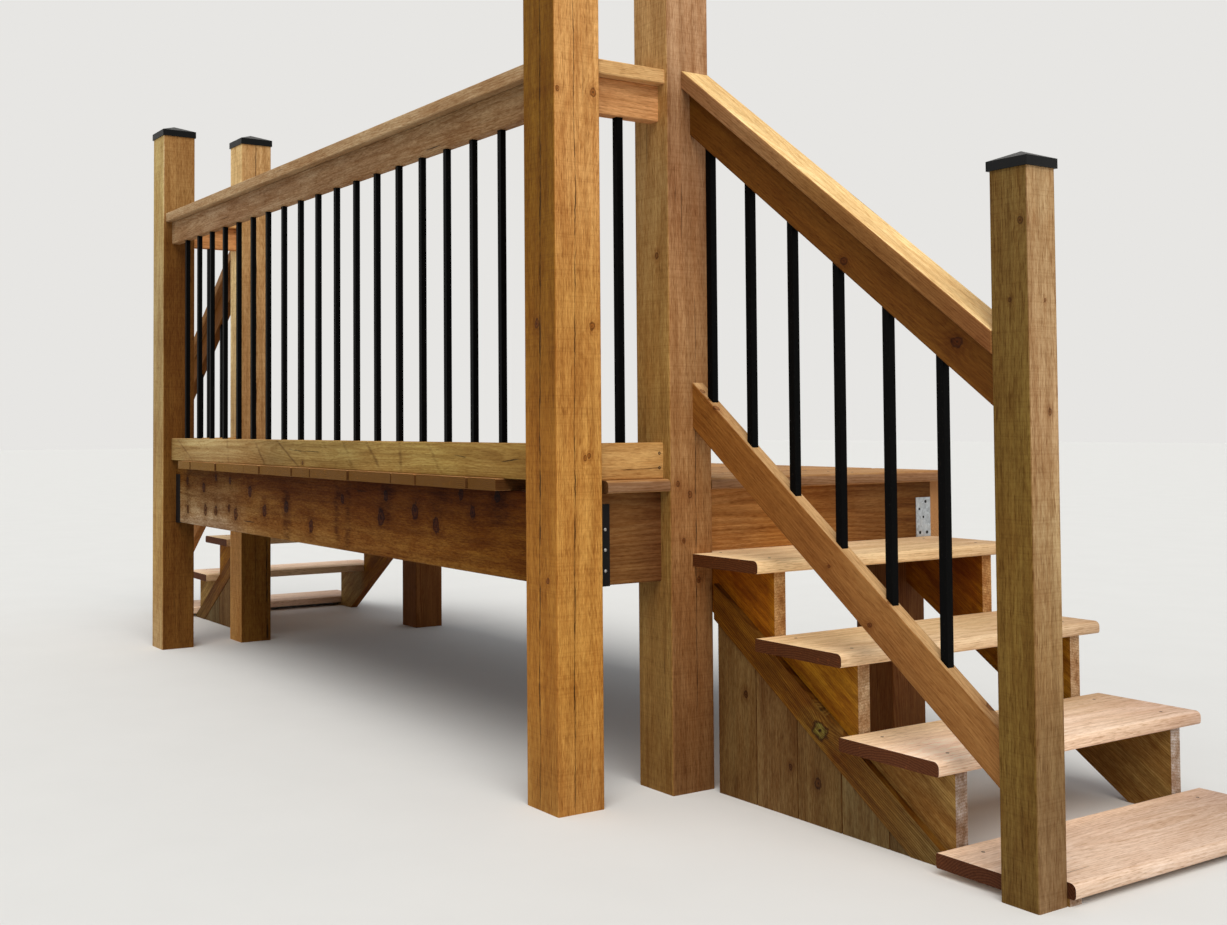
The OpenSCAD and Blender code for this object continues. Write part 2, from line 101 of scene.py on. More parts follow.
class Finish:
    """The nodes of a new material, or of the studio's world."""

    def __init__(self, owner):
        owner.use_nodes = True
        self.owner, self.tree = owner, owner.node_tree
        self.tree.nodes.clear()

    def node(self, kind, settings=(), inputs=(), output=0):
        """Adds a node: its settings first, then the values or wires of its sockets."""
        made = self.tree.nodes.new("ShaderNode" + kind)
        for key, value in dict(settings).items():
            if key == "stops":
                ramp = made.color_ramp.elements
                while len(ramp) < len(value):
                    ramp.new(1.0)
                for stop, (place, colour) in zip(ramp, value):
                    stop.position, stop.color = place, (*colour, 1.0)
            else:
                setattr(made, key, value)
        for key, value in dict(inputs).items():
            if isinstance(value, Wire):
                self.tree.links.new(value.socket, made.inputs[key])
            else:
                made.inputs[key].default_value = value
        return None if output is None else Wire(self, made.outputs[output])

    def spot(self):
        """The place on the piece, in metres from the middle of the deck's floor."""
        return self.node("TexCoord", (), (), "Object")

    def math(self, operation, *values):
        return self.node("Math", {"operation": operation}, enumerate(values))

    def vector_math(self, operation, *values, output=0):
        return self.node("VectorMath", {"operation": operation}, enumerate(values), output)

    def vector(self, x, y, z):
        return self.node("CombineXYZ", (), {0: x, 1: y, 2: z})

    def parts(self, wire):
        """The three numbers of a vector or a colour."""
        first = self.node("SeparateXYZ", (), {0: wire})
        return first, first.out("Y"), first.out("Z")

    def noise(self, vector, detail=2.0, rough=0.5, scale=1.0):
        return self.node("TexNoise", (), {"Vector": vector, "Scale": scale, "Detail": detail, "Roughness": rough})

    def smooth(self, value, low, high):
        """0 below low and 1 above high, with a soft step between. Where high is below low it is the other way round."""
        ends = (low, high, 0.0, 1.0) if low < high else (high, low, 1.0, 0.0)
        return self.node("MapRange", {"interpolation_type": "SMOOTHSTEP"}, enumerate((value, *ends)))

    def between(self, value, low, high, past=FADE):
        """1 between low and high, fading out over FADE inside them and as far past them as past says."""
        return self.smooth(value, low - past, low + FADE) * self.smooth(value, high + past, high - FADE)

    def ramp(self, value, stops):
        """The colour that stops of (value, colour) give at a value. A single number is a grey."""
        low, high = stops[0][0], stops[-1][0]
        stops = [((place - low) / (high - low), (c, c, c) if np.isscalar(c) else c) for place, c in stops]
        return self.node("ValToRGB", {"stops": stops}, {"Fac": (value - low) / (high - low)}, "Color")

    def mix(self, factor, a, b, mode="MIX"):
        return self.node("Mix", {"data_type": "RGBA", "blend_type": mode}, {0: factor, 6: a, 7: b}, 2)

    def tint(self, factor, colour, by):
        """The colour multiplied by three numbers, as far as the factor says."""
        return self.mix(factor, colour, (*by, 1.0), "MULTIPLY")

    def close(self, colour, rough, height, depth, metal=0.0, specular=0.2):
        """Ends the material: a Principled shader whose bump takes its height in units of depth metres."""
        bump = self.node("Bump", (), {"Strength": 1.0, "Distance": depth, "Height": height})
        shader = self.node("BsdfPrincipled", (), {
            "Base Color": colour, "Roughness": rough, "Metallic": metal, "Normal": bump,
            "Specular IOR Level": specular})
        self.node("OutputMaterial", (), {"Surface": shader}, None)
        return self.owner


def tone(red, green, blue):
    """A colour as the eye names it, 0 to 255, turned to the linear values that a shader takes."""
    c = np.array([red, green, blue]) / 255.0
    return (*np.where(c <= 0.04045, c / 12.92, ((c + 0.055) / 1.055) ** 2.4).tolist(), 1.0)


def third_axis(*two):
    """The axis that isn't one of the two."""
    return next(a for a in AXES if a not in two)


def sloping_centre(top, deep):
    """The middle of a sloping rail in its own axes, from the height of its upper edge at the stair post's face."""
    return 0.0, STAIR_RAIL_Y, top * math.cos(RAIL_SLOPE) + POST_RIGHT * math.sin(RAIL_SLOPE) - deep / 2


def timber(name, colour, grain="z", wide="x", centre=(0.0, 0.0, 0.0), slope=0.0, twins=False, courses=None, seed=0.0,
           faces=(), end=None, shade_and_tone=(), vary=0.12, ring=0.0055, pith=(0.02, -0.07), contrast=0.8,
           knots=(), knot_rate=0.5, knot_size=0.011, knot_depth=0.9, knot_height=1.0,
           around_knots=(0.6, 0.42, 0.28), heart=(0.62, 0.44, 0.27),
           cracks=(), checks=0.5, marks=(), streaks=1.0, blotch=1.0, pores=1.0, mottle=1.0, saw=0.0, gloss=0.08):
    """Sawn lumber. Growth rings are circles about a pith line that wanders beside the piece, so their
    distance from it, cut into equal steps, gives the bands; knots push the circles aside. Fibres, pores,
    mottling, blotches and drying cracks are noises stretched along the grain, and saw marks are noise
    stretched across it.

    Place: grain and wide name the axes along the piece and across its face; centre is its middle; slope turns
    x and z into along and across a sloping piece; twins mirrors one end of the deck for the other; courses is
    (axis, start, pitch) for boards laid side by side; seed starts the random draws, one for each board.
    Colour: faces are (axis, sign, colour), the colour of the faces that look one way, which on many pieces makes a lit
    side lighter and a shadowed side darker, painted light and shadow; end is the colour of cut ends; shade is (axis,
    stops of (place, level)), with or without the one face that it is for, and a level is one number, or three for red,
    green and blue: rows that multiply the colour by place, mostly painted light and shadow and partly the wood's own
    tone; vary is how much boards differ.
    Figure: ring is the rings' width and pith the place of their middle, across and through; contrast, streaks,
    blotch, pores, mottle, saw and checks say how strongly each shows.
    Knots: each is (x, y, z, radius, face axis), among scattered ones that knot_rate, knot_size and knot_depth
    rule; knot_height stretches them across the face; around_knots and heart tint the wood round one and in it.
    Cracks are (face, points of (along, across, half width)), and marks, which are dark lines and stains across the
    grain, are (face, place along, lean, width, strength, lowest and highest place across)."""
    f = Finish(bpy.data.materials.new(name))
    spot = f.spot()
    x, y, z = f.parts(spot)
    normal = dict(zip(AXES, f.parts(f.node("NewGeometry", (), (), "Normal"))))
    number = seed
    if twins:
        end_of_deck = f.math("SIGN", x)
        number = end_of_deck * TWIN_STEP + seed
        x = abs(x)
        normal["x"] = normal["x"] * end_of_deck
    level_axes = {"x": x, "y": y, "z": z}
    if slope:
        x, z = x * math.cos(slope) - z * math.sin(slope), x * math.sin(slope) + z * math.cos(slope)
    axes = {a: place - middle if middle else place for a, place, middle in zip(AXES, (x, y, z), centre)}
    if courses:
        axis, start, pitch = courses
        course = f.math("FLOOR", (axes[axis] - start) / pitch)
        axes[axis] = axes[axis] - start - (course + 0.5) * pitch
        number = course * COURSE_STEP + number
    along, across, through = axes[grain], axes[wide], axes[third_axis(grain, wide)]
    red, green, blue = f.parts(f.node("TexWhiteNoise", {"noise_dimensions": "1D"}, {"W": number}, "Color"))
    run = along + red * GRAIN_SHIFT

    def grained(length, width, detail=2.0, roughness=0.6):
        """Noise with so many cells to the metre along and across the grain."""
        return f.noise(f.vector(run * length, across * width, through * width), detail, roughness)

    def facing(axis, sign, limits=FACE_LIMITS):
        """1 on the faces that look this way and 0 on the others."""
        return f.smooth(normal[axis] * sign, *limits)

    # Knots: how many radii away the nearest one is, of the scattered ones and the placed ones
    lengthwise, crosswise, inwards = KNOT_CELLS
    cell = f.node("TexVoronoi", {"voronoi_dimensions": "3D"}, {"Scale": 1.0, "Vector": f.vector(
        run * lengthwise, across * crosswise + green * KNOT_SHIFT, through * inwards)})
    chance = f.parts(cell.out("Color"))[0]
    size = f.smooth(chance, 1.0 - knot_rate, 1.35) * (knot_size * 1.6) + 0.0001
    away = cell / KNOT_SCALE / size
    for *place, radius, axis in knots:
        reach = [1.0 / radius] * 3
        if axis:
            reach[AXES.index(axis)] *= 0.1
        reach[AXES.index(grain)] *= 0.75
        reach[AXES.index(wide)] /= knot_height
        gap = f.vector_math("MULTIPLY", f.vector_math("SUBTRACT", spot, place), reach)
        away = f.math("MINIMUM", away, f.vector_math("LENGTH", gap, output="Value"))
        size = f.math("MAXIMUM", size, radius * 0.8)
    ragged = away + (grained(*KNOT_EDGE) - 0.5)
    knot = f.smooth(ragged, 1.1, 0.75)
    halo = f.smooth(ragged, 3.2, 0.9)

    # Growth rings: the pith drifts along the grain, and late is the dark wood of each year
    drift = f.parts(f.noise(f.vector(run * 0.9, number * 3.1, 0.0), 1.0).out("Color"))
    side = across - (pith[0] + (green - 0.5) * 0.06) - (drift[0] - 0.5) * 0.10
    deep = through - pith[1] - (drift[1] - 0.5) * 0.07
    bend = size * 1.6 / (1.0 + away * away * 0.35)
    radius = f.vector_math("LENGTH", f.vector(side, deep, 0.0), output="Value")
    band = f.math("FRACT", (radius + (grained(*RING_WAVE) - 0.5) * 0.008 + bend) / ring)
    late = f.smooth(band, 0.15, 0.85) * f.smooth(band, 1.0, 0.88)

    # Fibres, streaks, mottling, blotches and pores, then how much of each multiplies the colour by which tint
    fibre, fuzz, patch = grained(*FIBRES), grained(*FUZZ), grained(*MOTTLING)
    streak, cloud = grained(*STREAKS), grained(*CLOUDS)
    pore = f.smooth(grained(*PORES), 0.57, 0.7)

    shown = tone(*colour)
    # A colour for the faces that look one way; on many pieces the lit side gets a lighter copy and the shadowed side a
    # darker copy of the wood, painted light and shadow
    for axis, sign, painted in faces:
        shown = f.mix(facing(axis, sign), shown, tone(*painted))
    for amount, stain in (
            (late * contrast, (0.66, 0.52, 0.34)),
            (f.smooth(streak, 0.3, 0.75) * (0.5 * streaks), (0.62, 0.55, 0.46)),
            (f.smooth(fibre, 0.35, 0.75) * (0.4 * streaks), (0.7, 0.64, 0.56)),
            (f.smooth(fuzz, 0.35, 0.72) * (0.5 * mottle), (0.66, 0.56, 0.46)),
            (f.smooth(patch, 0.35, 0.68) * (0.5 * mottle), (0.74, 0.62, 0.5)),
            (pore * (0.45 * pores), (0.5, 0.38, 0.26)),
            (f.smooth(cloud, 0.35, 0.72) * (0.5 * blotch), (0.72, 0.6, 0.5)),
            (blue, (1.0 - vary * 2, 1.0 - vary * 2.3, 1.0 - vary * 2.6)),
            (f.smooth(red, 0.3, 1.0) * (vary * 3.0), (1.12, 1.0, 0.86)),
            (halo * (0.55 * knot_depth), around_knots)):
        shown = f.tint(amount, shown, stain)
    if saw:
        hairs = f.smooth(f.noise(f.vector(run * 230.0, across * 5.0, through * 5.0), 3.0, 0.6), 0.45, 0.7) * saw
        shown = f.tint(hairs * 0.35, shown, (0.68, 0.58, 0.48))
    core = f.mix(f.smooth(ragged, 0.4, 0.8), (*heart, 1.0), (0.19, 0.11, 0.05, 1.0))
    core = f.mix(f.smooth(ragged, 0.3, 0.1), core, (0.12, 0.07, 0.03, 1.0))
    shown = f.mix(knot * knot_depth, shown, core, "MULTIPLY")

    # Long drying cracks: a ramp along the grain holds their place across, as red, and their half width, as
    # green. They wander, open and close, and fade out before their ends
    split = 0.0
    for face, points in cracks:
        points = sorted(points)
        low, high = points[0][0], points[-1][0]
        path, width, _ = f.parts(f.ramp(along, [(a, (c + 0.5, w * 100.0, 0.0)) for a, c, w in points]))
        wander = ((f.noise(f.vector(run * 5.0, 3.0, seed), 2.0) - 0.5) * 0.012
                  + (f.noise(f.vector(run * 55.0, 7.0, seed)) - 0.5) * 0.004)
        open_to = f.smooth(f.noise(f.vector(run * 9.0, 11.0, seed), 3.0, 0.65), 0.36, 0.6)
        offset = abs(axes[third_axis(grain, face[0])] - (path - 0.5) - wander)
        line = f.smooth(offset / (width * (open_to * 0.009 + 0.003) + 0.00001), 1.5, 0.5)
        line = line * f.between(along, low, high, 0.001) * (open_to * 0.55 + 0.45) * facing(*face, MARK_LIMITS)
        split = f.math("MAXIMUM", split, line)
    scattered = f.smooth(f.noise(f.vector(run * 3.0, across * 12.0, 5.0), 1.0), 0.5, 0.62)
    split = f.math("MAXIMUM", split, f.smooth(grained(*CHECKS), 0.73, 0.76) * scattered * checks)
    shown = f.mix(split * 0.85, shown, tone(38, 20, 8))

    # Dark lines and stains that cross the grain, with shaky edges and gaps
    for face, place, lean, breadth, strength, low, high in marks:
        lateral = axes[third_axis(grain, face[0])]
        shaky = (f.noise(f.vector(lateral * 28.0, place * 9.0, 0.0), 2.0) - 0.5) * (breadth * 2.5)
        off = abs(along - place - lateral * lean - shaky) / breadth
        broken = f.smooth(patch, 0.35, 0.6) * 0.7 + 0.3
        held = f.between(lateral, low, high) * facing(*face, MARK_LIMITS)
        shown = f.tint(f.smooth(off, 1.5, 0.0) * held * broken * strength, shown, (0.3, 0.2, 0.12))

    # Cut ends: darker, with their rings, fine radial cracks and pale chips
    if not slope:
        rays = f.noise(f.vector(across * 260.0, through * 260.0, number), 2.0)
        chips = f.smooth(f.noise(f.vector(across * 60.0, through * 60.0, number), 3.0, 0.7), 0.62, 0.7)
        sawn = f.tint(late * 0.85, tone(*(end or [c * 0.62 for c in colour])), (0.55, 0.45, 0.4))
        sawn = f.tint(f.smooth(rays, 0.45, 0.7) * 0.6, sawn, (0.6, 0.52, 0.45))
        sawn = f.tint(chips * 0.8, sawn, (1.7, 1.6, 1.5))
        shown = f.mix(f.smooth(abs(normal[grain]), *END_LIMITS), shown, sawn)
    # Colours multiplied in by place along one axis: mostly painted light and shadow, partly the wood's own tone
    for axis, stops, *face in shade_and_tone:
        shown = f.mix(facing(*face[0]) if face else 1.0, shown, f.ramp(level_axes[axis], stops), "MULTIPLY")

    rough = 0.68 + (cloud - 0.5) * 0.2 + (patch - 0.5) * 0.15 - knot * 0.12 + pore * 0.1
    height = (fibre * 0.2 + streak * 0.35 + fuzz * (0.3 * mottle) + knot * 0.25 - late * 0.12 - pore * 0.12
              - split * 2.2)
    if saw:
        height = height - hairs * 0.12
    return f.close(shown, rough, height, depth=0.0011, specular=gloss)


def black_coat(name, colour, rough=0.42, dust=0.25, gloss=0.14, worn=(30, 28, 25)):
    """Powder coat: a near-black film, fine as orange peel, rubbed to its worn colour along a coarse noise,
    with dust on what looks up and fine pale specks."""
    f = Finish(bpy.data.materials.new(name))
    spot = f.spot()
    up = f.parts(f.node("NewGeometry", (), (), "Normal"))[2]
    grime = f.noise(spot, 4.0, 0.65, 22.0)
    peel = f.noise(spot, 2.0, 0.5, 900.0)
    speck = f.smooth(f.noise(spot, 1.0, 0.5, 260.0), 0.70, 0.74)
    shown = f.mix(f.smooth(grime, 0.45, 0.75) * 0.35, tone(*colour), tone(*worn))
    shown = f.mix(f.smooth(up, 0.4, 0.95) * f.smooth(grime, 0.3, 0.7) * dust, shown, tone(120, 116, 108))
    shown = f.mix(speck * 0.2, shown, tone(70, 66, 60))
    rough = rough + (grime - 0.5) * 0.25 + speck * 0.2
    return f.close(shown, rough, peel + grime * 1.5, depth=0.00012, specular=gloss)


def zinc_coat(name, colour=(190, 194, 197), holes=()):
    """Hot-dip zinc: crystals from the nearest of scattered points, each with its own grey and gloss, and
    dark punched holes of (x, y, z, radius) on both ends of the deck."""
    f = Finish(bpy.data.materials.new(name))
    spot = f.spot()
    crystal = f.node("TexVoronoi", (), {"Vector": spot, "Scale": 150.0})
    grey = f.parts(crystal.out("Color"))[0]
    cloud = f.noise(spot, 3.0, 0.6, 30.0)
    shown = f.mix(grey * 0.55, tone(*colour), tone(126, 130, 134))
    shown = f.mix(f.smooth(cloud, 0.45, 0.7) * 0.4, shown, tone(206, 206, 202))
    rough, height, metal = 0.34 + grey * 0.2 + cloud * 0.1, grey * 0.3 + cloud * 0.6, 0.75
    if holes:
        x, y, z = f.parts(spot)
        mirrored = f.vector(abs(x), y, z)
        hole = 0.0
        for *place, radius in holes:
            gap = f.vector_math("DISTANCE", mirrored, place, output="Value")
            hole = f.math("MAXIMUM", hole, f.smooth(gap, radius * 1.1, radius * 0.85))
        # The punched holes are painted near-black: painted shadow inside them
        shown = f.mix(hole, shown, tone(16, 13, 11))
        height, metal = height - hole * 3.0, (1.0 - hole) * metal
    return f.close(shown, rough, height, depth=0.0003, metal=metal)


def dress(material, *nodes):
    """Gives carried-over pieces their finish."""
    for node in nodes:
        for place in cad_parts[node].material_slots:
            place.material = material


# Lumber -------------------------------------------------------------------------------------------
# Posts, newels and back legs, with what the posts and newels share
POST = dict(grain="z", wide="x", ring=0.0036, contrast=0.3, vary=0.03, knot_rate=0.12, knot_size=0.006, streaks=1.2,
            pores=1.4, blotch=1.1, mottle=1.5, saw=1.0, knot_depth=0.8)
# Painted light and shadow: the right side is a lit copy and the front a shadowed copy of the wood, the front darkens
# from 1.1 m up and the right side lightens from 1.5 m up
dress(timber("front_post_right_pine", (200, 140, 78), **POST, centre=(POST_X, FRONT_POST_Y, 0.0), seed=1.0,
             pith=(-0.02, 0.015), faces=((*RIGHT, (224, 168, 92)), (*FRONT, (184, 129, 52))),
             knots=((POST_RIGHT, -0.592, 1.795, 0.010, "x"), (POST_RIGHT, -0.702, 1.792, 0.007, "x"),
                    (POST_RIGHT, -0.601, 1.204, 0.009, "x"), (POST_RIGHT, -0.613, 0.879, 0.006, "x"),
                    (POST_RIGHT, -0.625, 0.874, 0.006, "x"), (1.493, POST_FRONT, 1.211, 0.011, "y"),
                    (1.535, POST_FRONT, 0.571, 0.007, "y")),
             cracks=((RIGHT, ((0.0, -0.020, 0.0008), (0.134, -0.020, 0.0012), (0.525, -0.017, 0.0016),
                              (1.0, -0.013, 0.0010), (1.517, -0.008, 0.0013), (1.9, -0.010, 0.0008),
                              (2.24, -0.012, 0.0004))),
                     (FRONT, ((0.0, -0.010, 0.0010), (0.272, -0.009, 0.0020), (0.894, -0.002, 0.0028),
                              (1.774, 0.008, 0.0022), (2.24, 0.010, 0.0008)))),
             shade_and_tone=(("z", ((0.0, (1.05, 1.2, 1.8)), (0.3, (1.1, 1.1, 1.2)), (0.9, 1.0), (1.1, (0.88, 0.92, 0.85)),
                           (1.3, (0.76, 0.80, 0.60)), (1.6, (0.62, 0.66, 0.42)), (2.24, (0.60, 0.64, 0.42))), FRONT),
                    ("z", ((0.0, (0.92, 0.95, 1.0)), (0.3, (1.12, 1.15, 1.0)), (1.3, (1.13, 1.16, 1.2)),
                           (1.6, (1.38, 1.5, 2.0)), (2.24, (1.42, 1.58, 2.2))), RIGHT))), "post_front_right")
# Both faces darken towards the ground, partly painted shadow, and lighten and turn bluer towards the top, painted light
dress(timber("stair_post_right_pine", (190, 136, 80), **POST, centre=(POST_X, STAIR_POST_Y, 0.0), seed=2.0,
             pith=(0.03, -0.02), faces=((*RIGHT, (194, 148, 100)), (*FRONT, (200, 162, 94))),
             knots=((POST_RIGHT, -0.290, 0.773, 0.008, "x"), (POST_RIGHT, -0.330, 0.802, 0.007, "x"),
                    (POST_RIGHT, -0.262, 0.549, 0.007, "x"), (POST_RIGHT, -0.311, 0.653, 0.006, "x"),
                    (1.527, STAIR_POST_FRONT, 1.401, 0.008, "y")),
             cracks=((RIGHT, ((0.2, 0.012, 0.0006), (0.7, 0.014, 0.0012), (1.3, 0.018, 0.0005))),),
             shade_and_tone=(("z", ((0.0, (0.60, 0.58, 0.55)), (0.7, 0.84), (0.82, 0.80), (0.95, 0.88), (1.09, 1.08),
                           (1.3, (0.96, 0.94, 1.0)), (1.6, (1.02, 1.08, 1.4)), (1.8, (1.18, 1.22, 1.5)),
                           (2.24, (1.45, 1.6, 2.5))), FRONT),
                    ("z", ((0.0, (0.48, 0.46, 0.42)), (0.3, (0.66, 0.62, 0.58)), (0.6, (0.98, 0.98, 0.94)),
                           (0.9, (1.08, 1.12, 1.12)), (1.3, (1.22, 1.26, 1.38)), (1.6, (1.14, 1.2, 1.5)),
                           (1.8, (1.16, 1.3, 1.7)), (2.24, (1.6, 1.9, 2.7))), RIGHT))), "post_stair_right")
# Painted light and shadow: the front is a lit copy and the right side a shadowed copy of the wood, and the right side
# is much lighter above 1.8 m. Its mark is a thin dark line across the right side at the height of the beam's underside
dress(timber("front_post_left_pine", (196, 146, 88), **POST, centre=(-POST_X, FRONT_POST_Y, 0.0), seed=3.0,
             pith=(0.02, 0.0), faces=((*RIGHT, (128, 88, 38)), (*FRONT, (216, 188, 124))),
             shade_and_tone=(("z", ((0.0, 1.0), (1.76, 1.0), (1.9, (2.3, 3.0, 5.5)), (2.24, (2.6, 3.4, 6.5))), RIGHT),
                    ("z", ((0.0, (0.98, 1.0, 1.3)), (0.35, 1.0), (0.6, 0.94), (0.9, (0.84, 0.86, 0.94)),
                           (1.35, (0.84, 0.92, 1.12)), (1.6, (0.86, 0.92, 1.12)), (1.95, (1.1, 1.22, 1.35))), FRONT)),
             cracks=((FRONT, ((0.1, 0.01, 0.0006), (1.1, 0.015, 0.0014), (2.1, 0.01, 0.0006))),),
             marks=((RIGHT, 0.549, 0.0, 0.0016, 0.9, -0.07, -0.008),)), "post_front_left")
# Painted light: the front is a sunlit copy of the wood, and both faces lighten from 1.3 m up; below 0.6 m the right
# side is dark brown and the front reddish. The second crack on the right side is a wide dark line near its edge, up to
# 0.8 m
dress(timber("stair_post_left_pine", (206, 162, 104), **POST, centre=(-POST_X, STAIR_POST_Y, 0.0), seed=4.0,
             pith=(-0.02, 0.02), faces=((*RIGHT, (222, 184, 130)), (*FRONT, (252, 222, 162))),
             cracks=((RIGHT, ((0.1, -0.002, 0.0006), (0.9, -0.001, 0.0012), (2.24, -0.003, 0.0016))),
                     (RIGHT, ((0.0, 0.052, 0.0030), (0.8, 0.050, 0.0012)))),
             shade_and_tone=(("z", ((0.0, (0.74, 0.56, 0.34)), (0.6, (0.86, 0.62, 0.38)), (0.95, (0.95, 0.98, 1.0)),
                           (1.3, (1.25, 1.35, 1.45)), (2.24, (1.3, 1.4, 1.5))), FRONT),
                    ("z", ((0.0, (0.31, 0.22, 0.08)), (0.6, (0.38, 0.27, 0.10)), (0.95, 0.9), (1.3, 1.0), (1.8, 1.0),
                           (2.0, 1.13)), RIGHT))), "post_stair_left")
NEWEL_KNOTS = ((NEWEL_RIGHT, -0.243, 0.977, 0.006, "x"), (NEWEL_RIGHT, -0.252, 1.199, 0.0035, "x"),
               (2.611, NEWEL_FRONT, 1.358, 0.007, "y"), (2.584, NEWEL_FRONT, 1.201, 0.004, "y"))
# Painted light and shadow: the right side is a lit copy and the front a shadowed copy of the wood, and the right side
# darkens below 0.75 m
for end_name, sign in (("right", 1), ("left", -1)):
    dress(timber(f"newel_{end_name}_pine", (176, 138, 92), **{**POST, "ring": 0.003, "knot_rate": 0.08},
                 centre=(sign * NEWEL_X, STAIR_RAIL_Y, 0.0), seed=5.0 + sign, pith=(0.05, 0.06),
                 knots=NEWEL_KNOTS if sign > 0 else (), faces=((*RIGHT, (210, 177, 134)), (*FRONT, (134, 108, 52))),
                 shade_and_tone=(("z", ((0.0, (0.84, 0.84, 1.0)), (0.3, (0.94, 0.94, 0.92)), (0.7, (1.12, 1.12, 1.1)),
                               (0.9, (0.98, 1.0, 1.0)), (1.4, (0.98, 1.0, 1.3))), FRONT),
                        ("z", ((0.0, 0.60), (0.25, (0.54, 0.53, 0.46)), (0.5, (0.72, 0.69, 0.58)),
                               (0.75, (1.02, 1.1, 1.12)), (0.95, (1.1, 1.12, 1.18)), (1.4, (1.06, 1.1, 1.12))),
                         RIGHT))), f"newel_{end_name}")
dress(timber("back_leg_pine", (150, 100, 54), centre=(1.464, 0.576, 0.0), twins=True, seed=7.0), "back_legs")

# Frame and stringers. The beam's knots are (x, z, radius), and its stains (place, lean, width, strength, low, high)
BEAM_KNOTS = ((-1.292, 0.729, 0.014), (-1.285, 0.610, 0.016), (-1.092, 0.708, 0.017), (-1.071, 0.616, 0.020),
              (-0.951, 0.619, 0.018), (-0.804, 0.637, 0.014), (-0.731, 0.618, 0.021), (-0.583, 0.713, 0.018),
              (-0.439, 0.644, 0.020), (-0.234, 0.666, 0.020), (-0.019, 0.613, 0.019), (0.233, 0.717, 0.014),
              (0.512, 0.671, 0.024), (0.547, 0.739, 0.016), (0.736, 0.702, 0.022), (0.864, 0.665, 0.020),
              (1.072, 0.714, 0.016), (1.009, 0.763, 0.014), (1.204, 0.766, 0.016), (-0.950, 0.753, 0.012),
              (-0.793, 0.744, 0.012))
BEAM_STAINS = ((-1.29, 0.1, 0.035, 0.5, -0.12, 0.12), (-0.235, 0.05, 0.030, 0.7, -0.11, 0.06),
               (-0.20, 0.1, 0.02, 0.5, -0.12, -0.01), (0.19, 0.06, 0.022, 0.7, -0.09, 0.12),
               (0.275, 0.06, 0.022, 0.7, -0.1, 0.12), (0.55, 0.1, 0.05, 0.6, 0.0, 0.12),
               (0.9, -0.1, 0.06, 0.5, 0.03, 0.12), (1.22, 0.1, 0.07, 0.6, 0.02, 0.12))
# Painted shadow: the beam darkens towards its top, under the deck boards' edge, and lightens towards its underside;
# along it, it is paler and greyer towards the left end and darker towards the right, partly painted light
dress(timber("front_beam_pine", (148, 94, 36), grain="x", wide="z", centre=(0.0, JOIST_LINES[0], FRAME_MIDDLE),
             seed=11.0, pith=(-0.02, 0.10), ring=0.007, contrast=0.35, knot_rate=0.05, blotch=2.0, end=(100, 62, 34),
             pores=0.8, streaks=1.5, mottle=2.3, checks=1.0, knot_depth=1.0, knot_height=1.7, gloss=0.03,
             knots=[(x, BEAM_FRONT, z, radius * 0.75, "y") for x, z, radius in BEAM_KNOTS],
             around_knots=(0.62, 0.5, 0.38), heart=(0.5, 0.34, 0.18), marks=[(FRONT, *stain) for stain in BEAM_STAINS],
             shade_and_tone=(("x", ((-1.435, (1.42, 2.4, 6.5)), (-0.9, (1.45, 2.6, 8.0)), (-0.6, (1.25, 1.75, 3.0)),
                           (-0.4, (0.98, 1.2, 1.5)), (0.3, (0.86, 0.96, 1.0)), (1.435, (0.68, 0.68, 0.34)))),
                    ("z", ((0.548, (1.28, 1.6, 2.6)), (0.60, (1.15, 1.3, 1.7)), (0.66, (0.86, 0.88, 0.95)),
                           (0.74, (0.55, 0.43, 0.24)), (0.783, (0.45, 0.34, 0.18)))))), "front_beam")
dress(timber("ledger_pine", (118, 76, 42), end=(190, 140, 90), grain="x", wide="z",
             centre=(0.0, JOIST_LINES[-1], FRAME_MIDDLE), seed=12.0), "ledger")
dress(timber("joist_pine", (118, 76, 42), grain="x", wide="z", centre=(0.0, 0.0, FRAME_MIDDLE),
             courses=("y", -0.447, 0.327), seed=13.0), "joists")
# The rims are darker between the front and stair posts, and darker towards the house and round the tie plate, the last
# two painted shadow
dress(timber("rim_pine", (214, 166, 102), grain="y", wide="z", centre=(1.515, 0.0, FRAME_MIDDLE), twins=True,
             seed=14.0, ring=0.009, contrast=0.6, pith=(0.03, -0.05), streaks=1.5, blotch=1.5, mottle=1.3,
             knot_size=0.008,
             shade_and_tone=(("y", ((-0.572, (0.49, 0.43, 0.44)), (-0.47, (0.54, 0.50, 0.52)), (-0.38, (0.36, 0.29, 0.30)),
                           (STAIR_POST_FRONT, (0.33, 0.25, 0.25)), (-0.2, (1.25, 1.18, 1.2)),
                           (-0.08, (1.08, 1.0, 1.0)), (0.04, (1.0, 0.86, 0.68)), (0.2, (0.80, 0.66, 0.52)),
                           (0.37, (0.60, 0.54, 0.54)), (0.6, (0.36, 0.29, 0.21)), (0.678, (0.32, 0.26, 0.19)))),)),
      "rims_right", "rims_left")
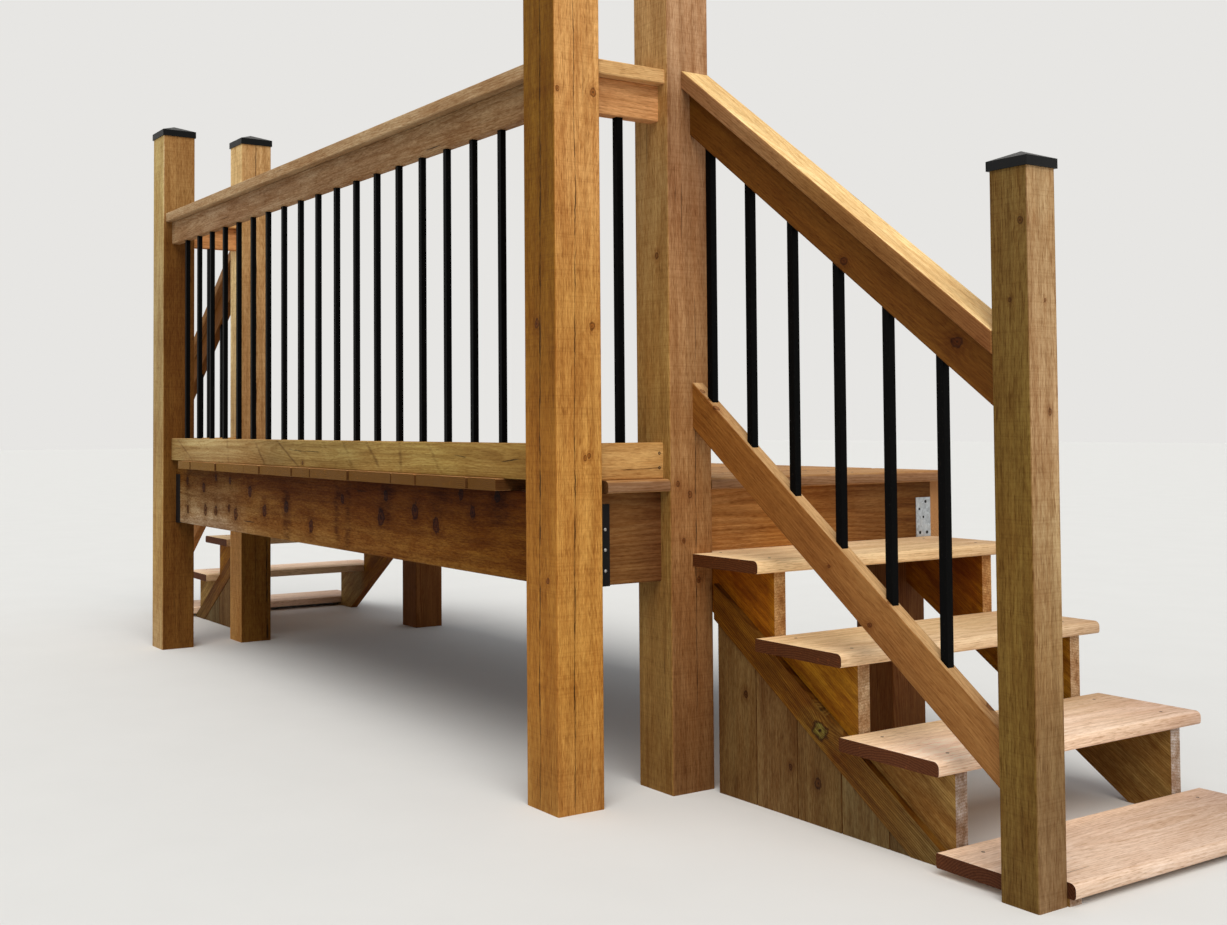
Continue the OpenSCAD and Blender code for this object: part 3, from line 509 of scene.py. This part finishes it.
# The teeth's fronts and the riser cuts change colour from step to step and turn bluer towards the foot, partly painted
# shadow under the treads; the lighter riser cuts are partly painted light
dress(timber("stringer_pine", (165, 103, 26), grain="x", wide="z", slope=FLIGHT_SLOPE, twins=True,
             courses=("y", -0.214, 0.411), seed=15.0, blotch=2.8, contrast=0.5, knot_rate=0.35, knot_size=0.010,
             vary=0.04, streaks=1.8, faces=((*RIGHT, (242, 196, 150)), (*LEFT, (242, 196, 150))), mottle=2.2,
             shade_and_tone=(("x", ((1.534, (1.2, 1.24, 0.66)), (1.78, (1.2, 1.24, 0.66)), (1.83, (1.52, 2.15, 1.4)),
                           (1.95, (1.3, 1.8, 1.3)), (2.02, (1.3, 1.75, 1.1)), (2.07, (1.45, 2.15, 2.2)),
                           (2.12, (1.33, 2.6, 12.0)), (2.631, (1.36, 2.8, 14.0))), FRONT),
                    ("x", ((1.534, 1.0), (1.78, 1.0), (1.83, (1.15, 1.35, 1.1)), (2.05, (1.15, 1.35, 1.1)),
                           (2.12, (0.9, 1.42, 2.7)), (2.631, (0.9, 1.42, 2.7))), RIGHT))),
      "stringers_right", "stringers_left")

# Deck boards and treads
# The boards' dark sides are partly painted shadow in the gaps between them, partly dirt; their front ends darken
# towards the right, partly painted shadow
dress(timber("deck_board_pine", (222, 178, 126), grain="y", wide="x", centre=(0.0, 0.0, BOARD_MIDDLE),
             courses=("x", FIRST_BOARD - 0.0029, BOARD_PITCH), seed=21.0, end=(146, 112, 58), vary=0.14, contrast=0.5,
             faces=((*RIGHT, (112, 78, 44)), (*LEFT, (112, 78, 44))),
             shade_and_tone=(("x", ((-1.27, (0.80, 0.74, 0.60)), (-0.7, (0.76, 0.68, 0.52)), (-0.3, (0.60, 0.50, 0.34)),
                           (1.27, (0.45, 0.34, 0.18))), FRONT),)), "deck_boards")
# Its sides are a darker copy of the wood than its top, partly painted shadow
dress(timber("deck_edge_pine", (224, 180, 126), grain="y", wide="x", centre=(1.432, 0.0, BOARD_MIDDLE), twins=True,
             seed=22.0, end=(110, 74, 40), contrast=0.5, faces=((*RIGHT, (179, 143, 111)), (*LEFT, (179, 143, 111)))),
      "deck_edge_right", "deck_edge_left")
# Painted light and shadow: the treads darken towards the house, and some steps are lighter and bluer than others
dress(timber("tread_pine", (250, 222, 180), grain="y", wide="x", twins=True, courses=("x", 1.5395, STEP_RUN),
             seed=23.0, end=(77, 42, 19), contrast=0.3, knot_rate=0.3, knot_size=0.005, streaks=0.6, blotch=0.6,
             pores=1.1, mottle=0.8, vary=0.05, knot_depth=0.7,
             shade_and_tone=(("x", ((1.534, (1.30, 1.30, 1.28)), (1.75, (1.24, 1.22, 1.16)), (1.9, (1.1, 1.08, 1.0)),
                           (2.1, (1.13, 1.13, 1.16)), (2.25, (1.36, 1.38, 1.70)), (2.36, (1.30, 1.34, 1.66)),
                           (2.42, (1.03, 1.06, 1.36)), (2.645, (1.0, 1.03, 1.33)))),
                    ("y", ((-0.282, (1.10, 1.12, 1.14)), (0.15, (1.08, 1.11, 1.16)), (0.3, (0.96, 0.97, 1.0)),
                           (0.45, (0.84, 0.83, 0.84)), (0.676, (0.66, 0.62, 0.64)))))), "treads_right", "treads_left")

# Front railing, with what its rails share. The bottom rail's faint slanted dark lines are (place along, lean, strength)
RAIL_DARK_SLANTS = ((-1.262, -2.2, 0.7), (-0.760, -0.1, 0.5), (-0.434, -1.2, 0.8), (-0.172, -2.1, 0.9),
               (0.322, -0.8, 0.5), (0.506, -1.2, 0.8), (0.684, -0.1, 0.7), (0.895, -1.0, 0.5))
SLANT_WIDTH, RAIL_HALF_HEIGHT = 0.011, 0.047
RAIL = dict(grain="x", wide="z", contrast=0.45, ring=0.005, knot_rate=0.25, vary=0.05)
# Its pale, greyish colour is partly a painted highlight
dress(timber("front_cap_rail_pine", (208, 183, 146), **{**RAIL, "wide": "y", "mottle": 1.6, "blotch": 1.5},
             centre=(0.0, RAIL_Y, CAP_RAIL_Z), seed=31.0), "front_cap_rail")
# Its colour and the darkening of its front from left to right are partly painted shadow under the cap rail
dress(timber("front_top_rail_pine", (201, 173, 135), **{**RAIL, "mottle": 2.0, "blotch": 1.8, "checks": 1.0},
             centre=(0.0, RAIL_Y, TOP_RAIL_Z), seed=32.0,
             shade_and_tone=(("x", ((-1.435, (0.90, 0.91, 0.93)), (-0.9, (0.82, 0.80, 0.84)), (-0.3, (0.75, 0.74, 0.78)),
                           (1.435, (0.70, 0.68, 0.64))), FRONT),)), "front_top_rail")
# Its lighter top is partly painted light, and along its front it is lighter and bluer in places, chiefly towards the
# left, partly painted light. Its marks are faint slanted dark lines
dress(timber("front_bottom_rail_pine", (184, 154, 87), **{**RAIL, "streaks": 1.6, "blotch": 1.6},
             centre=(0.0, RAIL_Y, BOTTOM_RAIL_Z), seed=33.0, faces=((*TOP, (214, 178, 120)),),
             marks=[(FRONT, place, lean, SLANT_WIDTH, strength * 0.75, -RAIL_HALF_HEIGHT, RAIL_HALF_HEIGHT)
                    for place, lean, strength in RAIL_DARK_SLANTS],
             knots=((-0.041, RAIL_FRONT, 0.830, 0.007, "y"),),
             cracks=((FRONT, ((-0.172, 0.013, 0.0010), (-0.05, 0.010, 0.0018), (0.104, 0.007, 0.0008))),
                     (FRONT, ((1.000, 0.012, 0.0008), (1.083, 0.006, 0.0014))),
                     (FRONT, ((1.253, -0.004, 0.0010), (1.352, 0.004, 0.0014)))),
             shade_and_tone=(("x", ((-1.435, (1.05, 1.15, 1.6)), (-1.17, (1.32, 1.55, 2.5)), (-0.96, (1.35, 1.58, 2.6)),
                           (-0.74, (1.2, 1.32, 2.0)), (-0.53, (1.08, 1.15, 1.6)), (-0.3, (0.80, 0.86, 1.1)),
                           (0.0, (0.92, 1.0, 1.15)), (0.3, (0.92, 1.03, 1.15)), (0.53, (1.12, 1.24, 1.4)),
                           (0.96, (1.05, 1.13, 1.12)), (1.2, (1.05, 1.1, 1.15)), (1.435, (0.92, 0.88, 0.75))),
                     FRONT),)), "front_bottom_rail")

# Side railings, with what their rails share
SIDE = dict(grain="y", wide="z", twins=True, contrast=0.35, ring=0.005, knot_rate=0.2, vary=0.04)
dress(timber("side_cap_pine", (248, 204, 143), **{**SIDE, "wide": "x"}, centre=(1.518, 0.0, CAP_RAIL_Z), seed=34.0),
      "side_cap_rails")
dress(timber("side_top_rail_pine", (250, 190, 130), **{**SIDE, "streaks": 1.6}, centre=(1.518, 0.0, TOP_RAIL_Z),
             seed=35.0), "side_top_rails")
dress(timber("side_bottom_rail_pine", (241, 196, 128), **{**SIDE, "streaks": 1.6}, seed=36.0,
             centre=(1.526, 0.0, BOTTOM_RAIL_Z),
             cracks=((RIGHT, ((-0.50, -0.022, 0.0006), (-0.42, -0.021, 0.0014),
                              (STAIR_POST_FRONT, -0.019, 0.0018))),)), "side_bottom_rails")

# Stair railings, with what their rails share, and the heights of their upper edges at the stair post's face
HANDRAIL_TOP, UPPER_RAIL_TOP, LOWER_RAIL_TOP = CAP_RAIL_Z + LUMBER_THICK / 2, 1.8399, 1.066
SLOPING = dict(grain="x", slope=RAIL_SLOPE, twins=True, contrast=0.35, knot_rate=0.2, vary=0.03, ring=0.005,
               streaks=1.3, knot_depth=0.8)
# Painted light: its top is a brightly lit copy of the wood, lightened further; its front darkens towards the lower end
dress(timber("handrail_pine", (181, 134, 84), **SLOPING, wide="y", centre=sloping_centre(HANDRAIL_TOP, LUMBER_THICK),
             seed=41.0, faces=((*TOP, (252, 222, 152)),),
             shade_and_tone=(("z", ((1.0, (1.45, 1.52, 1.9)), (1.9, (1.40, 1.48, 1.8))), TOP),
                    ("x", ((POST_RIGHT, (0.88, 0.90, 1.1)), (1.85, (0.88, 0.98, 1.2)), (2.05, (0.70, 0.70, 0.60)),
                           (2.4, (0.70, 0.67, 0.60)), (2.52, (0.60, 0.50, 0.45))), FRONT))),
      "handrail_right", "handrail_left")
# Its dark colour is partly painted shadow under the handrail
dress(timber("stair_top_rail_pine", (124, 80, 27), **SLOPING, wide="z", seed=43.0,
             centre=sloping_centre(UPPER_RAIL_TOP, RAIL_DEEP),
             knots=((2.116, STAIR_RAIL_FRONT, 1.330, 0.009, "y"), (2.431, STAIR_RAIL_FRONT, 1.126, 0.013, "y"))),
      "stair_top_rail_right", "stair_top_rail_left")
# Its paler top is partly painted light; its front is less blue towards the upper end
dress(timber("stair_bottom_rail_pine", (174, 126, 74), **SLOPING, wide="z", seed=45.0,
             centre=sloping_centre(LOWER_RAIL_TOP, RAIL_DEEP), faces=((*TOP, (244, 204, 150)),),
             knots=((1.609, -0.268, 1.045, 0.008, ""), (1.637, -0.271, 1.022, 0.006, ""),
                    (1.664, -0.271, 1.000, 0.009, ""), (2.475, -0.244, 0.371, 0.010, ""),
                    (2.230, -0.270, 0.560, 0.005, ""), (2.056, STAIR_RAIL_FRONT, 0.626, 0.004, "y"),
                    (2.179, STAIR_RAIL_FRONT, 0.505, 0.006, "y")),
             shade_and_tone=(("x", ((POST_RIGHT, (0.90, 0.80, 0.50)), (1.8, (0.88, 0.79, 0.58)), (2.05, (0.80, 0.71, 0.58)),
                           (2.2, (0.90, 0.88, 0.82)), (2.5, (1.0, 1.03, 1.02))), FRONT),)),
      "stair_bottom_rail_right", "stair_bottom_rail_left")

# Strip and skirt boards on the outer stringers
# Along its front it turns greyer and bluer towards the foot of the stair, partly painted shadow
dress(timber("cleat_pine", (158, 116, 47), grain="x", wide="z", slope=FLIGHT_SLOPE, twins=True, seed=51.0,
             contrast=1.2, blotch=2.2, streaks=2.6, mottle=1.8,
             knots=((1.976, -0.233, 0.227, 0.023, "y"), (1.987, -0.233, 0.285, 0.012, "y")),
             around_knots=(1.7, 2.8, 6.0), heart=(1.3, 2.4, 4.0),
             shade_and_tone=(("x", ((1.534, (1.14, 1.12, 0.58)), (2.0, (0.96, 0.90, 0.60)), (2.2, (0.96, 1.2, 2.0)),
                           (2.45, (0.98, 1.8, 5.5))), FRONT),)), "stringer_cleats")
# Each board's front has its own colour, the first lighter and bluer, partly painted shadow
dress(timber("skirt_pine", (150, 112, 66), grain="z", wide="x", centre=(0.0, SKIRT_FRONT + 0.008, 0.0), twins=True,
             courses=("x", 1.612, 0.1435), seed=52.0, contrast=0.25, blotch=1.8, vary=0.16, knot_rate=0.4,
             knot_size=0.008, streaks=1.0, mottle=1.9,
             shade_and_tone=(("x", ((1.612, (1.02, 1.28, 1.5)), (1.75, (1.0, 1.22, 1.4)), (1.77, (0.84, 0.97, 1.16)),
                           (2.03, (0.78, 0.97, 1.05)), (2.06, (0.78, 1.15, 1.6)), (2.246, (0.78, 1.15, 1.6))), FRONT),),
             knots=((1.715, SKIRT_FRONT, 0.27, 0.008, "y"), (1.873, SKIRT_FRONT, 0.12, 0.007, "y"),
                    (1.965, SKIRT_FRONT, 0.10, 0.012, "y"), (1.655, SKIRT_FRONT, 0.42, 0.007, "y"))),
      "skirt_boards_right", "skirt_boards_left")


# Steel --------------------------------------------------------------------------------------------
dress(black_coat("satin_black_coat", (5, 5, 5), worn=(12, 11, 9), dust=0.05, gloss=0.03),
      "front_balusters", "side_balusters", "stair_balusters_right", "stair_balusters_left")
dress(black_coat("cap_black_coat", (7, 8, 9), dust=0.12, worn=(16, 16, 16)), "post_caps", "newel_caps")
dress(black_coat("hanger_black_coat", (20, 20, 21), rough=0.5, dust=0.2), "beam_hangers")
dress(zinc_coat("hanger_zinc"), "joist_hangers")
PLATE_HOLES = ((0.630, 0.630, 0.005), (0.660, 0.630, 0.005), (0.655, 0.722, 0.005), (0.628, 0.700, 0.004),
               (0.645, 0.676, 0.004))
dress(zinc_coat("plate_zinc", holes=[(RIM_OUTSIDE, *hole) for hole in PLATE_HOLES]), "tie_plates")


# Fixings ------------------------------------------------------------------------------------------
def turned_heads(name, places, facing, profile, material, sides=4, around=12):
    """Many like heads of screws or bolts. Each is a profile of (radius, height, squareness) turned about
    its own axis: a ring's radius at an angle a is radius / (|cos(n a)|^p + |sin(n a)|^p)^(1/p), where n is a
    quarter of the number of sides, and p goes with the squareness from 2 for a circle to 8 for flat sides.
    The first and last rings close in a point."""
    places = np.asarray(places, float).reshape(-1, 3)
    axis = np.asarray(facing, float)
    first = np.cross(axis, (0.0, 0.0, 1.0) if abs(axis[2]) < 0.5 else (0.0, 1.0, 0.0))
    second = np.cross(axis, first)
    angle = np.arange(around) * 2 * np.pi / around
    fold = angle * sides / 4.0
    r, h, squareness = np.array(profile, float).T
    p = (2.0 + squareness * 6.0)[:, None]
    swell = (np.abs(np.cos(fold))[None] ** p + np.abs(np.sin(fold))[None] ** p) ** (-1.0 / p)
    spread = r[:, None] * swell
    rings = ((spread * np.cos(angle))[..., None] * first + (spread * np.sin(angle))[..., None] * second
             + h[:, None, None] * axis)
    one = np.concatenate([rings.reshape(-1, 3), [h[0] * axis, h[-1] * axis]])
    verts = (places[:, None] + one).reshape(-1, 3)
    ring, j = np.meshgrid(np.arange(len(r) - 1), np.arange(around), indexing="ij")
    a, b = ring * around + j, ring * around + (j + 1) % around
    quads = np.stack([a, a + around, b + around, b], -1).reshape(-1, 4)
    last_ring, top = (len(r) - 1) * around, len(r) * around
    j = np.arange(around)
    following = (j + 1) % around
    caps = np.concatenate([np.stack([np.full(around, top), j, following], -1),
                           np.stack([np.full(around, top + 1), last_ring + following, last_ring + j], -1)])
    step = (np.arange(len(places)) * len(one))[:, None, None]
    faces = (quads + step).reshape(-1, 4).tolist() + (caps + step).reshape(-1, 3).tolist()
    mesh = bpy.data.meshes.new(name)
    mesh.from_pydata(verts.tolist(), [], faces)
    mesh.polygons.foreach_set("use_smooth", np.ones(len(faces), bool))
    mesh.materials.append(material)
    made = bpy.data.objects.new(name, mesh)
    bpy.context.scene.collection.objects.link(made)
    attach(made, "root")


# Profiles of (radius, height, squareness), in metres: countersunk with a square recess, domed, flat, and hexagonal
# over a washer
SUNK_HEAD = ((0.0013, -0.0002, 1.0), (0.0017, 0.0004, 1.0), (0.0028, 0.0005, 0.2), (0.0043, 0.0001, 0.0),
             (0.0040, -0.002, 0.0))
PAN_HEAD = ((0.0008, 0.0022, 0.0), (0.0022, 0.0021, 0.0), (0.0040, 0.0014, 0.0), (0.0046, 0.0002, 0.0),
            (0.0046, -0.0008, 0.0))
NAIL_HEAD = ((0.0020, 0.0011, 0.0), (0.0036, 0.0009, 0.0), (0.0038, -0.0006, 0.0))
BOLT_HEAD = ((0.0055, 0.0098, 0.4), (0.0080, 0.0085, 1.0), (0.0080, 0.0030, 1.0), (0.0150, 0.0028, 0.0),
             (0.0155, 0.0002, 0.0), (0.0150, -0.001, 0.0))

coated = black_coat("bronze_screw_coat", (66, 52, 40), rough=0.4, dust=0.1)
darkened = black_coat("black_screw_coat", (24, 24, 24), rough=0.4, dust=0.1)
bright = zinc_coat("bright_screw_zinc", (190, 190, 188))

# Screws in the deck over every joist line, in the treads over every stringer, and bolts along the ledger
board_x = FIRST_BOARD + BOARD_WIDTH / 2 + np.arange(BOARDS) * BOARD_PITCH
screws = [(x + s, y, DECK_TOP) for x in board_x for y in JOIST_LINES for s in (-0.05, 0.05)]
turned_heads("deck_screws", screws, (0, 0, 1), SUNK_HEAD, coated)
screws = [(side * x, y, DECK_TOP) for side in (-1, 1) for y in JOIST_LINES[2:] for x in (1.325, 1.42, 1.515)]
turned_heads("edge_board_screws", screws, (0, 0, 1), SUNK_HEAD, coated)
NOSE_X, TREAD_TOP = 1.820, 0.618
screws = [(side * (NOSE_X + STEP_RUN * k - back), y, TREAD_TOP - STEP_RISE * k) for side in (-1, 1)
          for k in range(STEPS) for y in (-0.195, 0.589) for back in (0.050, 0.235)]
turned_heads("tread_screws", screws, (0, 0, 1), SUNK_HEAD, coated)
bolts = [(x, 0.678, z) for x, z in zip(np.linspace(-1.2, 1.2, 7), (0.60, 0.73) * 4)]
turned_heads("ledger_bolts", bolts, (0, -1, 0), BOLT_HEAD, bright, sides=6)

# Screws and nails of the hangers, at the heights of their rows, and the screws of the short side rails
SCREW_ROWS = (0.585, 0.638, 0.690)
hung = list(zip((POST_HANGER_INSIDE, RIM_INSIDE, RIM_INSIDE), JOIST_LINES[1:4]))
for side, label in ((1, "right"), (-1, "left")):
    plate = [(side * RIM_OUTSIDE, -0.536, z) for z in SCREW_ROWS]
    turned_heads(f"rim_hanger_screws_{label}", plate, (side, 0, 0), PAN_HEAD, bright)
    flanges = [(side * x, y + s * 0.032, z) for x, y in hung for s in (-1, 1) for z in (0.575, 0.625, 0.675, 0.710)]
    turned_heads(f"joist_hanger_nails_{label}", flanges, (-side, 0, 0), NAIL_HEAD, bright, around=8)
    inner = ([(side * RIM_INSIDE, -0.545, z) for z in SCREW_ROWS]
             + [(side * POST_HANGER_INSIDE, -0.601, z) for z in (0.58, 0.63, 0.68, 0.73)])
    turned_heads(f"beam_hanger_screws_{label}", inner, (-side, 0, 0), PAN_HEAD, darkened)
    ends = [(side * 1.545, y, z) for y in (-0.366, -0.560) for z in (0.844, 0.882)]
    turned_heads(f"side_rail_screws_{label}", ends, (side, 0, 0), SUNK_HEAD, coated)
for way, label in ((1, "back"), (-1, "front")):
    cheeks = [(side * (x - 0.017), y + way * 0.021, z) for side in (-1, 1) for x, y in hung for z in (0.585, 0.665)]
    turned_heads(f"joist_nails_{label}", cheeks, (0, way, 0), NAIL_HEAD, bright, around=8)
cheeks = [(side * 1.410, -0.612, z) for side in (-1, 1) for z in SCREW_ROWS]
turned_heads("beam_hanger_screws_back", cheeks, (0, 1, 0), PAN_HEAD, darkened)


# Light, floor and camera --------------------------------------------------------------------------
def lamp(name, source, strength, angle, colour=(1.0, 1.0, 1.0)):
    """A distant soft lamp that shines from source towards the deck."""
    light = bpy.data.lights.new(name, "SUN")
    light.energy, light.angle, light.color = strength, math.radians(angle), colour
    made = bpy.data.objects.new(name, light)
    made.rotation_euler = Vector(source).to_track_quat("Z", "Y").to_euler()
    bpy.context.scene.collection.objects.link(made)


lamp("key", (0.75, -0.46, 1.15), 2.5, 50.0, (1.0, 0.97, 0.92))
lamp("fill", (-0.5, -1.0, 0.5), 0.42, 60.0)

# The studio's walls: soft light on the deck, and a pale backdrop for the camera, in gloss and through glass
sky = bpy.data.worlds.new("studio")
bpy.context.scene.world = sky
studio = Finish(sky)
ray = studio.node("LightPath", (), (), "Is Camera Ray")
seen = studio.math("MAXIMUM", ray, ray.out("Is Glossy Ray"))
seen = studio.math("MAXIMUM", seen, ray.out("Is Transmission Ray"))
soft = studio.node("Background", (), {"Color": (0.93, 0.96, 1.0, 1.0), "Strength": 0.42})
pale = studio.node("Background", (), {"Color": (0.80, 0.79, 0.77, 1.0), "Strength": 1.0})
studio.node("OutputWorld", (), {"Surface": studio.node("MixShader", (), {0: seen, 1: soft, 2: pale})}, None)

FLOOR_REACH = 60
corners = [(x * FLOOR_REACH, y * FLOOR_REACH, 0) for x, y in ((-1, -1), (1, -1), (1, 1), (-1, 1))]
ground = bpy.data.meshes.new("studio_floor")
ground.from_pydata(corners, [], [(0, 1, 2, 3)])
plain = Finish(bpy.data.materials.new("studio_floor"))
grit = plain.noise(plain.spot(), 3.0, 0.6, 3.0)
pale_grey = plain.mix(grit * 0.5, tone(222, 222, 220), tone(232, 232, 230))
ground.materials.append(plain.close(pale_grey, 0.8, grit, depth=0.0005))
floor = bpy.data.objects.new("studio_floor", ground)
bpy.context.scene.collection.objects.link(floor)

# The camera that was fitted to the photograph: its place, and its three directions in the deck's axes
CAMERA_PLACE = (4.3573, -2.6116, 0.9541)
SIGHT = (-0.84854383, 0.52812544, 0.03250995)
RIGHT_HAND = (0.52825384, 0.84907055, -0.00520518)
OVERHEAD = (0.03035222, -0.01275668, 0.99945786)
view = bpy.data.cameras.new("camera")
view.sensor_width, view.sensor_fit, view.lens = 36.0, "HORIZONTAL", 40.1655
view.shift_x, view.shift_y = 0.09433, -0.06577
view.clip_end = 200.0
camera = bpy.data.objects.new("camera", view)
camera.matrix_world = Matrix([(r, o, -s, p) for r, o, s, p in zip(RIGHT_HAND, OVERHEAD, SIGHT, CAMERA_PLACE)]
                             + [(0, 0, 0, 1)])
bpy.context.scene.collection.objects.link(camera)
bpy.context.scene.camera = camera
bpy.context.scene.view_settings.view_transform = "Standard"
